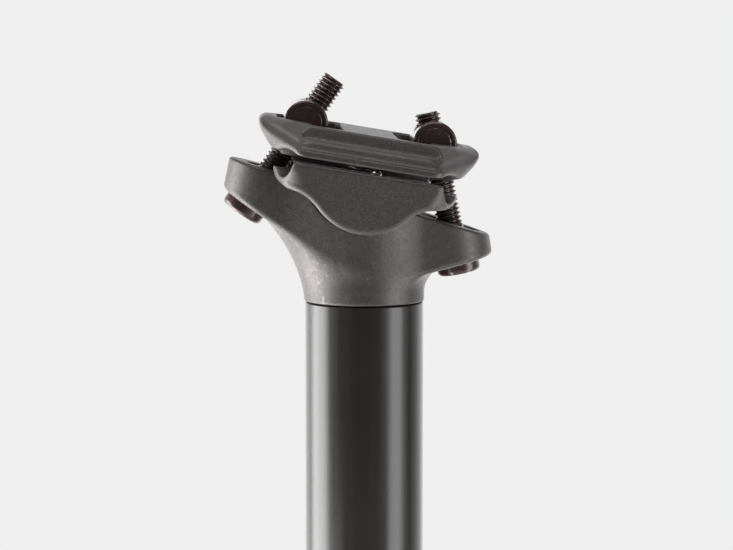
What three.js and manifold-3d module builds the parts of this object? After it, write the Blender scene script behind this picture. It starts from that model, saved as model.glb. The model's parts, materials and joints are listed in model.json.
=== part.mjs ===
// Telescopic suspension seatpost with a two-bolt saddle clamp.
// Millimetres, +Z up along the post, +X towards the front of the bicycle.
// The origin is on the post's axis at its bottom end plane.
import * as THREE from "three";
import { mergeVertices } from "three/addons/utils/BufferGeometryUtils.js";
import Module from "manifold-3d";

const wasm = await Module();
wasm.setup();

// ---- driving dimensions ----------------------------------------------------

const GAP = 0.3; // running gap between neighbouring pieces

// telescopic part
const POST_R = 15.8; // 31.6 mm seat tube fit
const POST_BORE_R = 14.3;
const POST_LENGTH = 246;
const STANCHION_R = 13.6; // 27.2 mm sliding tube
const STANCHION_BORE_R = 11.6;
const STANCHION_FOOT_Z = 165;
const COLLAR_R = 18.5;
const COLLAR_LOW_Z = 228;
const COLLAR_TOP_Z = 251.5;
const KEY_WIDTH = 3;
const KEY_ANGLES = [30, 150, 270];
const JUNCTION_Z = 317; // where the sliding tube meets the head

// inside the post
const PLUG_LOW_Z = 3.6;
const PLUG_HEIGHT = 10;
const SEAT_LOW_Z = PLUG_LOW_Z + PLUG_HEIGHT + GAP;
const SEAT_THICKNESS = 2.5;
const SPRING_LOW_Z = SEAT_LOW_Z + SEAT_THICKNESS + GAP;
const FOOT_LOW_Z = 160;
const SPRING_WIRE_R = 1.9;
const SPRING_COIL_R = 11.6;
const SPRING_TURNS = 10;

// head
const NECK_R = 13.75;
const ARM_HALF_WIDTH = 9.5;
const SADDLE_AXIS_Z = 30.8; // rocker axis above the junction
const ROCKER_R = 13.7;
const SPIGOT_LENGTH = 30;
const POCKET_HALF_WIDTH = 5.9;
const SLOT_HALF_WIDTH = 3.7;
const SLOT_REACH = { rear: 1.6, front: 2.4 }; // from a slot's middle to its round ends' centres

// saddle clamp, in its own frame: x along the rails, z square to them
const CLAMP_TILT = THREE.MathUtils.degToRad(9.5);
const CLAMP_HALF_WIDTH = 26.5;
const RAIL_Y = 22;
const RAIL_R = 3.6;
const RAIL_Z = -0.7;
const UPPER_LOW_Z = 1.4;
const UPPER_TOP_Z = 8.2;
const NUT_X = 14.8;
const NUT_Z = 8;
const NUT_R = 5;
const NUT_HALF_LENGTH = 8;
const CLAMP_SHIFT_X = -0.2; // nuts and upper clamp against the rocker axis

// bolts, measured along each bolt from the outer face of its head
const BOLT_LEAN = { rear: THREE.MathUtils.degToRad(35.3), front: THREE.MathUtils.degToRad(-11.7) };
const BOLT_TO_NUT = { rear: 25.8, front: 30.7 };
const BOLT_SWING = { rear: [5, 36], front: [-12, -46] }; // degrees from the clamp's normal
const BOLT_HEAD_R = 5;
const BOLT_HEAD_HEIGHT = 6;
const BOLT_CORE_R = 2.4;
const BOLT_LENGTH = 37.3;
const HEX_KEY = 5; // across flats, bolts and preload plug
const WASHER_R = 5.4;
const WASHER_LOW = 6.05;
const WASHER_HIGH = 6.75;
const SWIVEL_R = 6.5;
const SWIVEL_FLAT = 7.1;
const SWIVEL_APEX = 9.2;
const SWIVEL_CENTRE = SWIVEL_APEX - SWIVEL_R;

// ---- materials -------------------------------------------------------------

function finish(color, roughness, metalness) {
  return new THREE.MeshStandardMaterial({ color, roughness, metalness });
}

const forged = finish(0x45413f, 0.6, 0.5);
const anodised = finish(0x232020, 0.25, 0.8);
const blackSteel = finish(0x2a2323, 0.35, 0.8);
const steel = finish(0xb8b4ae, 0.3, 1.0);
const brass = finish(0xb08a45, 0.4, 1.0);
const polymer = finish(0xd8d4c8, 0.6, 0.0);
const rubber = finish(0x1c1b1b, 0.85, 0.0);

// ---- solids ----------------------------------------------------------------

// A closed geometry as a solid; triangles are turned round if they face inwards.
function solid(geometry) {
  const bare = geometry.index ? geometry.toNonIndexed() : geometry.clone();
  bare.deleteAttribute("normal");
  bare.deleteAttribute("uv");
  const merged = mergeVertices(bare, 1e-4);
  const vertProperties = new Float32Array(merged.attributes.position.array);
  const triVerts = new Uint32Array(merged.index.array);
  if (signedVolume(vertProperties, triVerts) < 0) {
    for (let i = 0; i < triVerts.length; i += 3) {
      [triVerts[i], triVerts[i + 1]] = [triVerts[i + 1], triVerts[i]];
    }
  }
  return new wasm.Manifold(new wasm.Mesh({ numProp: 3, vertProperties, triVerts }));
}

function signedVolume(points, triangles) {
  const corner = (i) => new THREE.Vector3().fromArray(points, 3 * triangles[i]);
  let total = 0;
  for (let i = 0; i < triangles.length; i += 3) {
    total += corner(i).dot(corner(i + 1).cross(corner(i + 2)));
  }
  return total / 6;
}

function toGeometry(body) {
  const mesh = body.getMesh();
  const geometry = new THREE.BufferGeometry();
  geometry.setAttribute("position", new THREE.BufferAttribute(mesh.vertProperties.slice(), 3));
  geometry.setIndex(new THREE.BufferAttribute(mesh.triVerts.slice(), 1));
  geometry.computeVertexNormals();
  return geometry;
}

function box(low, high) {
  const size = high.map((v, i) => v - low[i]);
  const geometry = new THREE.BoxGeometry(...size);
  geometry.translate(...low.map((v, i) => v + size[i] / 2));
  return solid(geometry);
}

// A solid of revolution about Z; the profile holds [radius, z] pairs.
function turned(profile, segments = 36) {
  const points = profile.map(([r, z]) => new THREE.Vector2(r, z));
  if (points[0].x > 0) {
    points.push(points[0].clone());
  }
  return solid(new THREE.LatheGeometry(points, segments).rotateX(Math.PI / 2));
}

function ring(inner, outer, low, high, segments = 36) {
  return turned([[inner, low], [outer, low], [outer, high], [inner, high]], segments);
}

function drum(radius, low, high, segments = 36) {
  return turned([[0, low], [radius, low], [radius, high], [0, high]], segments);
}

// A cylinder whose axis runs along Y through (x, z).
function crossDrum(radius, x, z, halfLength, segments = 36) {
  const geometry = new THREE.CylinderGeometry(radius, radius, 2 * halfLength, segments);
  return solid(geometry.translate(x, 0, z));
}

// An outline drawn in the XZ plane, extruded from y = low to y = high.
function sideExtrusion(shape, low, high, curveSegments = 6) {
  const options = { depth: high - low, bevelEnabled: false, curveSegments };
  const geometry = new THREE.ExtrudeGeometry(shape, options);
  return solid(geometry.rotateX(Math.PI / 2).translate(0, high, 0));
}

// An outline drawn in the XY plane, extruded from z = low to z = high, with chamfered edges.
function planExtrusion(shape, low, high, chamfer = 0, curveSegments = 4) {
  const geometry = new THREE.ExtrudeGeometry(shape, {
    depth: high - low - 2 * chamfer,
    bevelEnabled: chamfer > 0,
    bevelThickness: chamfer,
    bevelSize: chamfer,
    bevelOffset: -chamfer,
    bevelSegments: 1,
    curveSegments,
  });
  return solid(geometry.translate(0, 0, low + chamfer));
}

function polygon(points) {
  return new THREE.Shape(points.map(([x, y]) => new THREE.Vector2(x, y)));
}

function hexagonPrism(acrossFlats, low, high) {
  const radius = acrossFlats / Math.sqrt(3);
  const geometry = new THREE.CylinderGeometry(radius, radius, high - low, 6);
  return solid(geometry.rotateX(Math.PI / 2).translate(0, 0, (low + high) / 2));
}

class Helix extends THREE.Curve {
  constructor(radius, low, high, turns) {
    super();
    Object.assign(this, { radius, low, high, turns });
  }

  getPoint(t, target = new THREE.Vector3()) {
    const angle = 2 * Math.PI * this.turns * t;
    const z = this.low + (this.high - this.low) * t;
    return target.set(this.radius * Math.cos(angle), this.radius * Math.sin(angle), z);
  }
}

function coil(coilRadius, wireRadius, low, high, turns, sides = 6) {
  const wire = new THREE.Shape();
  wire.absarc(0, 0, wireRadius, 0, 2 * Math.PI);
  const path = new Helix(coilRadius, low + wireRadius, high - wireRadius, turns);
  const options = { steps: 10 * turns, extrudePath: path, curveSegments: sides / 2 };
  return solid(new THREE.ExtrudeGeometry(wire, options));
}

// ---- assembly --------------------------------------------------------------

const seatpost = new THREE.Group();

const headFrame = new THREE.Group();
headFrame.position.z = JUNCTION_Z;
seatpost.add(headFrame);

const clampFrame = new THREE.Group();
clampFrame.position.z = SADDLE_AXIS_Z;
clampFrame.rotation.y = CLAMP_TILT;
headFrame.add(clampFrame);

function add(parent, name, body, material) {
  const mesh = new THREE.Mesh(toGeometry(body), material);
  mesh.name = name;
  parent.add(mesh);
}

// ---- post ------------------------------------------------------------------

const KEY_GROOVE_R = 15;
const RETAINER_GROOVE_R = 15;
const GUIDE_BORE_R = STANCHION_R + 0.1;
const GUIDE_R = POST_BORE_R - 0.1;
const GUIDE_LOW_Z = 212.3;
const SEAT_STUB_R = 4; // the elastomer sits over this stub
const ELASTOMER_R = 8.5;
const ELASTOMER_HIGH_Z = 100;

function keyBar(inner, outer, width, low, high, angle) {
  return box([inner, -width / 2, low], [outer, width / 2, high]).rotate([0, 0, angle]);
}

function postTube() {
  let tube = turned([
    [POST_BORE_R, 0],
    [POST_R - 0.6, 0],
    [POST_R, 0.6],
    [POST_R, POST_LENGTH],
    [POST_BORE_R, POST_LENGTH],
  ]);
  tube = tube.subtract(ring(POST_BORE_R - 1, RETAINER_GROOVE_R, 1.8, 3.4));
  const grooveLow = FOOT_LOW_Z - 56;
  const grooveWidth = KEY_WIDTH + 2 * GAP;
  for (const angle of KEY_ANGLES) {
    const groove = keyBar(POST_BORE_R - 1, KEY_GROOVE_R, grooveWidth, grooveLow, POST_LENGTH + 1, angle);
    tube = tube.subtract(groove);
  }
  return tube;
}

function collar() {
  const sealTop = COLLAR_TOP_Z - 1.7;
  const shoulder = POST_LENGTH + 0.2;
  let body = turned([
    [POST_R + 0.15, COLLAR_LOW_Z],
    [COLLAR_R - 1, COLLAR_LOW_Z],
    [COLLAR_R, COLLAR_LOW_Z + 1],
    [COLLAR_R, COLLAR_TOP_Z - 3],
    [COLLAR_R - 1.8, COLLAR_TOP_Z],
    [STANCHION_R + 0.8, COLLAR_TOP_Z],
    [STANCHION_R + 0.8, sealTop],
    [POST_R + 0.6, sealTop],
    [POST_R + 0.6, shoulder],
    [POST_R + 0.15, shoulder],
  ]);
  const notches = 6;
  for (let i = 0; i < notches; i += 1) {
    const notch = keyBar(COLLAR_R - 1, COLLAR_R + 1, 4, COLLAR_LOW_Z + 3, COLLAR_LOW_Z + 12, 0);
    body = body.subtract(notch.rotate([0, 0, (360 / notches) * i]));
  }
  return body;
}

function wiperSeal() {
  const low = POST_LENGTH + 0.3;
  const high = COLLAR_TOP_Z - 2;
  const lip = STANCHION_R + 0.1;
  const r = POST_R + 0.3;
  return turned([[lip + 0.9, low], [r, low], [r, high], [lip, high], [lip, high - 1]]);
}

function retainingRing() {
  const clip = ring(12.4, RETAINER_GROOVE_R - 0.2, 2.1, 3.1);
  return clip.subtract(box([10, -3, 1], [17, 3, 4]));
}

function preloadPlug() {
  const low = PLUG_LOW_Z;
  const high = low + PLUG_HEIGHT;
  const r = POST_BORE_R - 0.15;
  const plug = turned([[0, low], [r - 0.8, low], [r, low + 0.8], [r, high], [0, high]]);
  return plug.subtract(hexagonPrism(HEX_KEY, low - 1, low + 6));
}

function springSeat() {
  const high = SEAT_LOW_Z + SEAT_THICKNESS;
  const seat = drum(POST_BORE_R - 0.4, SEAT_LOW_Z, high);
  return seat.add(drum(SEAT_STUB_R, high - 1, high + 7));
}

add(seatpost, "post_tube", postTube(), anodised);
add(seatpost, "collar", collar(), anodised);
add(seatpost, "wiper_seal", wiperSeal(), rubber);
add(seatpost, "upper_guide_bush", ring(GUIDE_BORE_R, GUIDE_R, GUIDE_LOW_Z, POST_LENGTH - GAP), polymer);
add(seatpost, "retaining_ring", retainingRing(), steel);
add(seatpost, "preload_plug", preloadPlug(), anodised);
add(seatpost, "spring_seat", springSeat(), polymer);
add(
  seatpost,
  "elastomer_bumper",
  ring(SEAT_STUB_R + GAP, ELASTOMER_R, SPRING_LOW_Z, ELASTOMER_HIGH_Z),
  rubber,
);
add(
  seatpost,
  "main_spring",
  coil(SPRING_COIL_R, SPRING_WIRE_R, SPRING_LOW_Z, FOOT_LOW_Z - GAP, SPRING_TURNS),
  steel,
);

// ---- sliding tube ----------------------------------------------------------

const BUSH_HIGH_Z = 184;
const KEY_LOW_Z = 190;
const KEY_HIGH_Z = 206;
const BUMPER_LOW_Z = 208;
const BUMPER_HIGH_Z = 212;

function stanchionTube() {
  let tube = ring(STANCHION_BORE_R, STANCHION_R, STANCHION_FOOT_Z, JUNCTION_Z - 0.25);
  tube = tube.subtract(ring(13, STANCHION_R + 1, STANCHION_FOOT_Z - 1, BUSH_HIGH_Z + GAP));
  tube = tube.subtract(ring(12.9, STANCHION_R + 1, BUMPER_LOW_Z - 0.2, BUMPER_HIGH_Z + 0.2));
  for (const angle of KEY_ANGLES) {
    const pocket = keyBar(12.6, STANCHION_R + 1, KEY_WIDTH + 0.2, KEY_LOW_Z - 0.1, KEY_HIGH_Z + 0.1, angle);
    tube = tube.subtract(pocket);
  }
  return tube;
}

function stanchionFoot() {
  const flangeTop = STANCHION_FOOT_Z - GAP;
  const plugTop = STANCHION_FOOT_Z + 14;
  const r = STANCHION_BORE_R - 0.2;
  return turned([
    [0, FOOT_LOW_Z + 3],
    [6, FOOT_LOW_Z + 3],
    [6, FOOT_LOW_Z],
    [STANCHION_R - 0.2, FOOT_LOW_Z],
    [STANCHION_R - 0.2, flangeTop],
    [r, flangeTop],
    [r, plugTop],
    [0, plugTop],
  ]);
}

add(seatpost, "stanchion_tube", stanchionTube(), anodised);
add(seatpost, "stanchion_foot", stanchionFoot(), anodised);
add(seatpost, "lower_guide_bush", ring(13.15, GUIDE_R, STANCHION_FOOT_Z, BUSH_HIGH_Z), polymer);
add(seatpost, "top_out_bumper", ring(13.05, POST_BORE_R - 0.15, BUMPER_LOW_Z, BUMPER_HIGH_Z), rubber);
KEY_ANGLES.forEach((angle, i) => {
  const key = keyBar(12.75, KEY_GROOVE_R - 0.2, KEY_WIDTH, KEY_LOW_Z, KEY_HIGH_Z, angle);
  add(seatpost, `anti_rotation_key_${i + 1}`, key, brass);
});

// ---- bolts and washers, each drawn along Z from the outer face of its head --

const END_NAMES = ["rear", "front"];
const NUT_SIDE = { rear: -1, front: 1 };

function nutCentre(end) {
  const inClamp = new THREE.Vector3(CLAMP_SHIFT_X + NUT_SIDE[end] * NUT_X, 0, NUT_Z);
  inClamp.applyAxisAngle(new THREE.Vector3(0, 1, 0), CLAMP_TILT);
  return inClamp.add(new THREE.Vector3(0, 0, SADDLE_AXIS_Z));
}

// The group in which a bolt's own Z axis runs from its head up through its nut.
function boltGroup(end) {
  const lean = BOLT_LEAN[end];
  const group = new THREE.Group();
  const axis = new THREE.Vector3(Math.sin(lean), 0, Math.cos(lean));
  group.rotation.y = lean;
  group.position.copy(nutCentre(end).addScaledVector(axis, -BOLT_TO_NUT[end]));
  return group;
}

// Moves a cutter drawn in a bolt's own frame into the head's frame.
function fromBolt(cutter, end) {
  const group = boltGroup(end);
  const turnedCutter = cutter.rotate([0, THREE.MathUtils.radToDeg(group.rotation.y), 0]);
  return turnedCutter.translate(group.position.toArray());
}

function bolt() {
  const body = turned(
    [
      [0, 0],
      [BOLT_HEAD_R - 0.8, 0],
      [BOLT_HEAD_R, 0.8],
      [BOLT_HEAD_R, BOLT_HEAD_HEIGHT],
      [BOLT_CORE_R, BOLT_HEAD_HEIGHT],
      [BOLT_CORE_R, BOLT_LENGTH - 0.5],
      [BOLT_CORE_R - 0.5, BOLT_LENGTH],
      [0, BOLT_LENGTH],
    ],
    24,
  );
  return body.subtract(hexagonPrism(HEX_KEY, -1, 3.5));
}

function swivelWasher() {
  const block = box([-SWIVEL_R, -5.5, SWIVEL_FLAT], [SWIVEL_R, 5.5, SWIVEL_APEX + 1]);
  const washer = crossDrum(SWIVEL_R, 0, SWIVEL_CENTRE, 7).intersect(block);
  return washer.subtract(drum(3.3, SWIVEL_FLAT - 1, SWIVEL_APEX + 1, 24));
}

for (const end of END_NAMES) {
  const group = boltGroup(end);
  headFrame.add(group);
  add(group, `${end}_bolt`, bolt(), blackSteel);
  add(group, `${end}_flat_washer`, ring(3.2, WASHER_R, WASHER_LOW, WASHER_HIGH, 24), blackSteel);
  add(group, `${end}_swivel_washer`, swivelWasher(), blackSteel);
}

// ---- head ------------------------------------------------------------------

// Side view of the neck and both arms, before the rocker seat is cut.
function headOutline() {
  const outline = new THREE.Shape();
  outline.moveTo(-NECK_R, 0);
  outline.lineTo(-NECK_R, 4);
  outline.bezierCurveTo(-14.2, 12, -19, 16.5, -23.4, 20);
  outline.lineTo(-30.6, 25.3);
  outline.quadraticCurveTo(-32.2, 26.6, -32, 28.6);
  outline.lineTo(-31.4, 32.4);
  outline.quadraticCurveTo(-31.1, 33.4, -30, 33);
  outline.lineTo(28.3, 15.4);
  outline.quadraticCurveTo(29.2, 15, 29, 13.6);
  outline.quadraticCurveTo(28.6, 10.9, 26, 10);
  outline.lineTo(17.8, 8);
  outline.quadraticCurveTo(14, 6.6, NECK_R, 3.5);
  outline.lineTo(NECK_R, 0);
  return outline;
}

// Both arms from above: straight sides and round ends.
function armPlan() {
  const plan = new THREE.Shape();
  const rear = -32.3 + ARM_HALF_WIDTH;
  const front = 29.2 - ARM_HALF_WIDTH;
  plan.moveTo(front, -ARM_HALF_WIDTH);
  plan.absarc(front, 0, ARM_HALF_WIDTH, -Math.PI / 2, Math.PI / 2);
  plan.absarc(rear, 0, ARM_HALF_WIDTH, Math.PI / 2, (3 * Math.PI) / 2);
  return plan;
}

// The room for a bolt's head, washers and swing, cut up into an arm from below.
function washerPocket(end) {
  const w = POCKET_HALF_WIDTH;
  const counterbore = drum(w, -8, SWIVEL_FLAT + GAP, 32);
  const seat = crossDrum(SWIVEL_R + GAP, 0, SWIVEL_CENTRE, w);
  const room = box([-w, -w, SWIVEL_FLAT - 0.4], [w, w, 20]);
  return fromBolt(counterbore.add(seat.intersect(room)), end);
}

// The slot that lets a bolt lean as the clamp is tilted, from the pocket to the arm's top.
function armSlot(end) {
  const slot = new THREE.Shape();
  const reach = SLOT_REACH[end];
  const width = SLOT_HALF_WIDTH;
  slot.moveTo(-reach, -width);
  slot.lineTo(reach, -width);
  slot.absarc(reach, 0, width, -Math.PI / 2, Math.PI / 2);
  slot.lineTo(-reach, width);
  slot.absarc(-reach, 0, width, Math.PI / 2, (3 * Math.PI) / 2);
  const straight = planExtrusion(slot, SWIVEL_APEX - 2.5, 22, 0, 5);
  return fromBolt(straight, end);
}

function head() {
  const outline = headOutline();
  const arms = sideExtrusion(outline, -20, 20).intersect(planExtrusion(armPlan(), -5, 40, 0, 10));
  const neck = drum(NECK_R, 0, 19).intersect(sideExtrusion(outline, -20, 20));
  let body = arms.add(neck);
  body = body.subtract(crossDrum(ROCKER_R + GAP, 0, SADDLE_AXIS_Z, 30, 60));
  for (const end of END_NAMES) {
    body = body.subtract(washerPocket(end)).subtract(armSlot(end));
  }
  const spigot = drum(STANCHION_BORE_R - GAP, -SPIGOT_LENGTH, 1);
  return body.add(spigot).subtract(drum(8, -SPIGOT_LENGTH - 1, 9));
}

add(headFrame, "head", head(), forged);

// ---- saddle clamp ----------------------------------------------------------

// Six-sided plan shared by both clamp halves, with its long sides along the rails.
function clampPlan(cornerX, tipX, tipY, halfWidth) {
  return polygon([
    [-cornerX, -halfWidth],
    [cornerX, -halfWidth],
    [tipX, -tipY],
    [tipX, tipY],
    [cornerX, halfWidth],
    [-cornerX, halfWidth],
    [-tipX, tipY],
    [-tipX, -tipY],
  ]);
}

function railGroove(side) {
  const groove = new THREE.CylinderGeometry(RAIL_R, RAIL_R, 70, 24);
  return solid(groove.rotateZ(Math.PI / 2).translate(0, side * RAIL_Y, RAIL_Z));
}

// The way through a clamp half for a bolt that swings about its nut.
function boltSweep(end) {
  const [nearest, farthest] = BOLT_SWING[end];
  const width = SLOT_HALF_WIDTH;
  const steps = 4;
  const bar = box([-width, -width, -20], [width, width, 0]);
  let sweep = bar.rotate([0, nearest, 0]);
  for (let i = 1; i <= steps; i += 1) {
    sweep = sweep.add(bar.rotate([0, nearest + ((farthest - nearest) * i) / steps, 0]));
  }
  return sweep.translate([CLAMP_SHIFT_X + NUT_SIDE[end] * NUT_X, 0, NUT_Z]);
}

// Side view of a rail bar and the round rocker under it.
function cradleOutline() {
  const outline = new THREE.Shape();
  const start = Math.PI + 0.62;
  const finishAngle = 2 * Math.PI - 0.62;
  outline.moveTo(-21, 0);
  outline.lineTo(-21, -2.6);
  outline.quadraticCurveTo(-19.6, -6.2, -15.4, -6.5);
  outline.quadraticCurveTo(-13, -6.8, ROCKER_R * Math.cos(start), ROCKER_R * Math.sin(start));
  outline.absarc(0, 0, ROCKER_R, start, finishAngle);
  outline.quadraticCurveTo(13, -6.8, 15.4, -6);
  outline.lineTo(19, -5.3);
  outline.quadraticCurveTo(21, -4.6, 21, -2.6);
  outline.lineTo(21, 0);
  return outline;
}

const WEB_HALF_LENGTH = 11.3;
const WEB_HALF_WIDTH = 12.6;
const WEB_TOP_Z = -3;
const INNER_LIP_Z = -2.4;
const CLAMP_SPRING_LOW_Z = -5.7;
const CLAMP_SPRING_HIGH_Z = 4.2;
const CLAMP_SPRING_SEAT_R = 4.9;

function lowerCradle() {
  const plan = clampPlan(16.8, 21, 17.6, CLAMP_HALF_WIDTH);
  let body = sideExtrusion(cradleOutline(), -30, 30, 8).intersect(planExtrusion(plan, -20, 5));
  const reach = 30;
  body = body.subtract(box([-reach, -RAIL_Y + 1.5, INNER_LIP_Z], [reach, RAIL_Y - 1.5, 1]));
  body = body.subtract(box([-reach, -WEB_HALF_WIDTH, WEB_TOP_Z], [reach, WEB_HALF_WIDTH, 1]));
  const ends = box([-reach, -WEB_HALF_WIDTH, -20], [reach, WEB_HALF_WIDTH, 1]);
  const web = box([-WEB_HALF_LENGTH, -reach, -21], [WEB_HALF_LENGTH, reach, 2]);
  body = body.subtract(ends.subtract(web));
  for (const side of [-1, 1]) {
    body = body.subtract(railGroove(side));
  }
  return body.subtract(drum(CLAMP_SPRING_SEAT_R, CLAMP_SPRING_LOW_Z - GAP, 1, 24));
}

const TROUGH_HALF_WIDTH = 8.6;
const BOSS_HALF_LENGTH = 6.5;

function upperClamp() {
  const flange = planExtrusion(clampPlan(16, 25.4, 9, CLAMP_HALF_WIDTH), UPPER_LOW_Z, 5, 0.6);
  const tier = planExtrusion(clampPlan(14.4, 24.6, 8.4, 20.6), UPPER_LOW_Z + 1, UPPER_TOP_Z, 0.5);
  const lip = box([-21, -18, 0.6], [21, 18, UPPER_LOW_Z + 1]);
  let body = flange.add(tier).add(lip);
  for (const side of [-1, 1]) {
    const slope = [[21, -1], [21, 0.9], [25.9, 6.4], [32, 6.4], [32, -1]].map(([x, z]) => [x * side, z]);
    body = body.subtract(sideExtrusion(polygon(slope), -30, 30)).subtract(railGroove(side));
  }
  const trough = box([-18.6, -TROUGH_HALF_WIDTH, 4.8], [18.6, TROUGH_HALF_WIDTH, 12]);
  const bossHalfWidth = TROUGH_HALF_WIDTH + 1;
  const boss = box([-BOSS_HALF_LENGTH, -bossHalfWidth, 3], [BOSS_HALF_LENGTH, bossHalfWidth, 12]);
  body = body.subtract(trough.subtract(boss));
  body = body.translate([CLAMP_SHIFT_X, 0, 0]);
  for (const end of END_NAMES) {
    const x = CLAMP_SHIFT_X + NUT_SIDE[end] * NUT_X;
    body = body.subtract(crossDrum(NUT_R + GAP, x, NUT_Z, TROUGH_HALF_WIDTH, 32)).subtract(boltSweep(end));
  }
  return body.subtract(drum(CLAMP_SPRING_SEAT_R, -1, CLAMP_SPRING_HIGH_Z + GAP, 24));
}

function barrelNut(end) {
  const profile = [
    [0, -NUT_HALF_LENGTH],
    [NUT_R - 0.7, -NUT_HALF_LENGTH],
    [NUT_R, -NUT_HALF_LENGTH + 0.7],
    [NUT_R, NUT_HALF_LENGTH - 0.7],
    [NUT_R - 0.7, NUT_HALF_LENGTH],
    [0, NUT_HALF_LENGTH],
  ];
  const lean = THREE.MathUtils.radToDeg(BOLT_LEAN[end] - CLAMP_TILT);
  const bore = drum(3.6, -8, 8, 24).rotate([0, lean, 0]);
  return turned(profile, 32).rotate([90, 0, 0]).subtract(bore);
}

add(clampFrame, "lower_cradle", lowerCradle(), forged);
add(clampFrame, "clamp_spring", coil(3.7, 0.6, CLAMP_SPRING_LOW_Z, CLAMP_SPRING_HIGH_Z, 4), steel);
add(clampFrame, "upper_clamp", upperClamp(), forged);
for (const end of END_NAMES) {
  const nutFrame = new THREE.Group();
  nutFrame.position.set(CLAMP_SHIFT_X + NUT_SIDE[end] * NUT_X, 0, NUT_Z);
  clampFrame.add(nutFrame);
  add(nutFrame, `${end}_barrel_nut`, barrelNut(end), blackSteel);
}

export default seatpost;
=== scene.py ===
import json
import math

import bmesh
import bpy
import numpy as np
from mathutils import Matrix, Vector

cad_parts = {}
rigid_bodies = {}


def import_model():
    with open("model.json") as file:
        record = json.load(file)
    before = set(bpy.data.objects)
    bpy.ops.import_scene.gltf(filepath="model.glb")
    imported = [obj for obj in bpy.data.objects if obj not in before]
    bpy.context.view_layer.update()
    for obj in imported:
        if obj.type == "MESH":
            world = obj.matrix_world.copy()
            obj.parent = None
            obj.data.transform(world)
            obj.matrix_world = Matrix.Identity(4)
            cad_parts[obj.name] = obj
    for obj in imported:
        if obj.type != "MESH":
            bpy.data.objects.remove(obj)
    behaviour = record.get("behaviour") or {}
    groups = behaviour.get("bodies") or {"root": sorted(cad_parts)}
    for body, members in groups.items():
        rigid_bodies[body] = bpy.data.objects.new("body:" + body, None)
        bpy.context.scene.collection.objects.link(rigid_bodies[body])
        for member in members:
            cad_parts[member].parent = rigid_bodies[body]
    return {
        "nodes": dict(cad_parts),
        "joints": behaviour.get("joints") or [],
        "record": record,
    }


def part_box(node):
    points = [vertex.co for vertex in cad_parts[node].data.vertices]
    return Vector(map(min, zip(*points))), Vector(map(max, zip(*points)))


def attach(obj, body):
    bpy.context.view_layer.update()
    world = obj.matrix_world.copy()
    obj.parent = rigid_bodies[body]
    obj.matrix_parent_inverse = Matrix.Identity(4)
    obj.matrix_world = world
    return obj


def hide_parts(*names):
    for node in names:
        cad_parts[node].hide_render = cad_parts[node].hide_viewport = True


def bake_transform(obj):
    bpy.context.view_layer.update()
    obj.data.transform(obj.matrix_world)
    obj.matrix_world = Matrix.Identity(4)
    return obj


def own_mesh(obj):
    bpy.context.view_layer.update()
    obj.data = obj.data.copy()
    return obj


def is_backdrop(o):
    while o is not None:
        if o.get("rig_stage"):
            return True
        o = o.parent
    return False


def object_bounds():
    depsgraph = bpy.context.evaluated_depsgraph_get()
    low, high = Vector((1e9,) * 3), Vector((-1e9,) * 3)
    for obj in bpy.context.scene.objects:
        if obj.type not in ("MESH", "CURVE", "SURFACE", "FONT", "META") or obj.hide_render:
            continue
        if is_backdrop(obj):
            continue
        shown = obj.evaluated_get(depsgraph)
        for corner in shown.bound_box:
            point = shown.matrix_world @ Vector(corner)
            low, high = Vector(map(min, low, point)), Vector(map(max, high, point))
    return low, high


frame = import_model()
cad_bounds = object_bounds()

MM = 0.001
JOINT = {j["name"]: j for j in frame["joints"]}

# ---- local frames in millimetres -------------------------------------------

TILT = math.atan2(JOINT["clamp_open"]["axis"][0], JOINT["clamp_open"]["axis"][2])
ROCKER_AXIS = Vector(JOINT["clamp_tilt"]["pos_m"])
JUNCTION_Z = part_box("stanchion_tube")[1].z + 0.00025
SWIVEL_CENTRE = 2.7


def local_frame(origin, lean=0.0):
    return Matrix.Translation(origin) @ Matrix.Rotation(lean, 4, "Y") @ Matrix.Scale(MM, 4)


def bolt_lean(end):
    axis = JOINT[f"{end}_bolt_spin"]["axis"]
    return math.atan2(axis[0], axis[2])


def bolt_origin(end):
    joint = JOINT[f"{end}_bolt_spin"]
    return Vector(joint["pos_m"]) - Vector(joint["axis"]) * SWIVEL_CENTRE * MM


WORLD = local_frame((0, 0, 0))
HEAD = local_frame((0, 0, JUNCTION_Z))
CLAMP = local_frame(ROCKER_AXIS, TILT)
ENDS = ("rear", "front")
BOLT = {end: local_frame(bolt_origin(end), bolt_lean(end)) for end in ENDS}
NUT = {end: local_frame(Vector(JOINT[f"{end}_nut_turn"]["pos_m"]), bolt_lean(end)) for end in ENDS}


def in_frame(point, matrix):
    return matrix.inverted() @ Vector(point)


# ---- driving dimensions, in millimetres ------------------------------------

GAP = 0.3
POST_R = 15.8
POST_BORE_R = 14.3
POST_LENGTH = 246
KEY_GROOVE_R = 15
KEY_ANGLES = (30, 150, 270)
STANCHION_R = 13.6
STANCHION_BORE_R = 11.6
COLLAR_R = 18.5
COLLAR_LOW = 228
COLLAR_TOP = 251.5

NECK_R = 13.75
ARM_HALF_WIDTH = 9.5
ROOT_SPREAD = 2  # how much wider the body is on each side in the middle of the head
ROOT_LENGTH = 11
ARM_SLOPE = 0.302
ARM_TOP = 23.9
ARM_EDGE_R = 1.1
ROCKER_CENTRE_Z = 30.8
ROCKER_R = 13.7
SEAT_R = ROCKER_R + 0.3
SPIGOT_R = 11.3

BOLT_HEAD_R = 5
BOLT_HEAD_HEIGHT = 6
BOLT_R = 3
THREAD_ROOT_R = 2.39
THREAD_START = 9.8
PITCH = 1.0
BOLT_LENGTH = 37.6
HEX_KEY = 5
SWIVEL_R = 6.5
SWIVEL_FLAT = 7.1
POCKET_HALF = 5.9
POCKET_LOW = -8
SLOT_REACH = {"rear": 1.6, "front": 2.4}
SLOT_HALF = 3.7

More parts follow.
